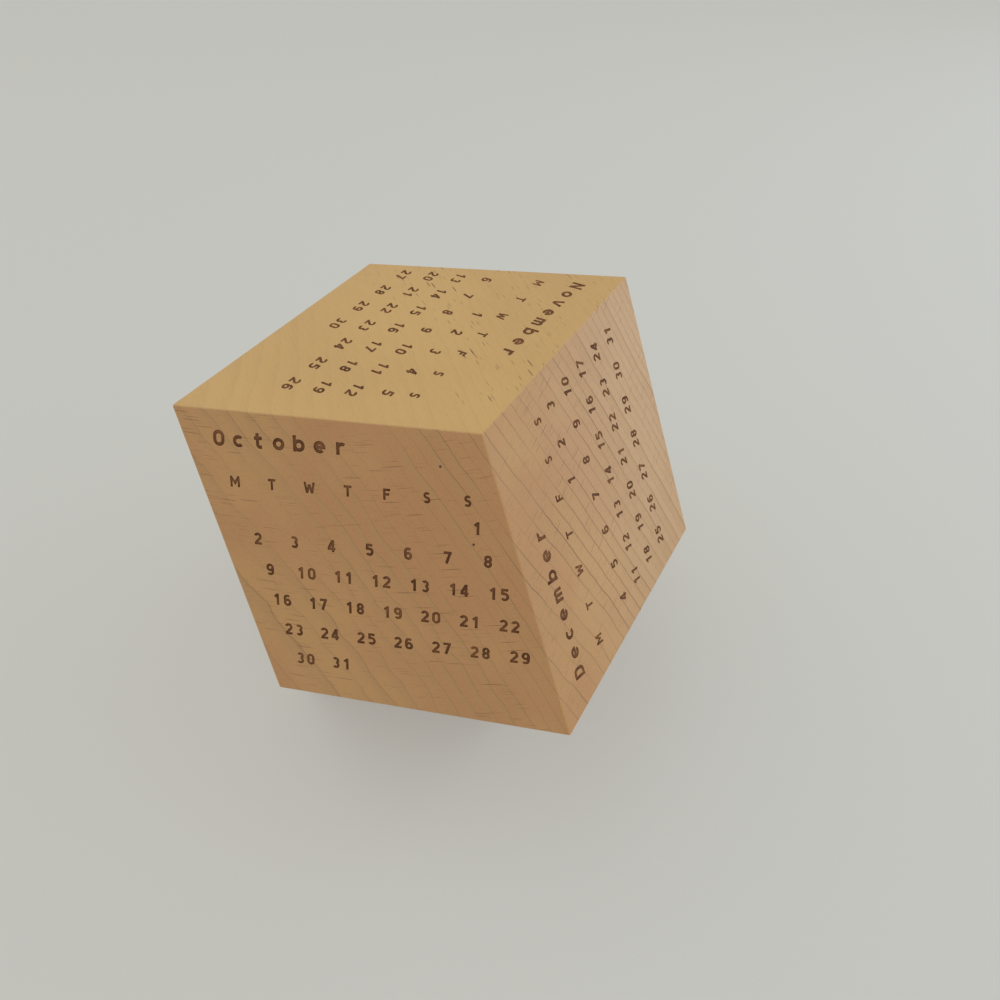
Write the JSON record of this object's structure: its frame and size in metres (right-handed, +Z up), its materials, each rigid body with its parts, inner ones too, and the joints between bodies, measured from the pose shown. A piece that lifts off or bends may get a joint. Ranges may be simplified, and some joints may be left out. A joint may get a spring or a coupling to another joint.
{
  "type": "desk calendar block",
  "caption": "Solid wooden desk calendar in the form of a rhombic dodecahedron, with one month of dates engraved on each flat rhombic face.",
  "frame": {"origin": "centre of the rhombic face that the block rests on", "axes": "+Z up through the centre of the opposite face, +Y along the long axis, which is the grain of the wood"},
  "size_m": [0.07, 0.0987, 0.07],
  "materials": {
    "beech": "bare sanded beech, laser-engraved lettering"
  },
  "bodies": {
    "root": {"calendar_block": "beech"}
  },
  "joints": []
}
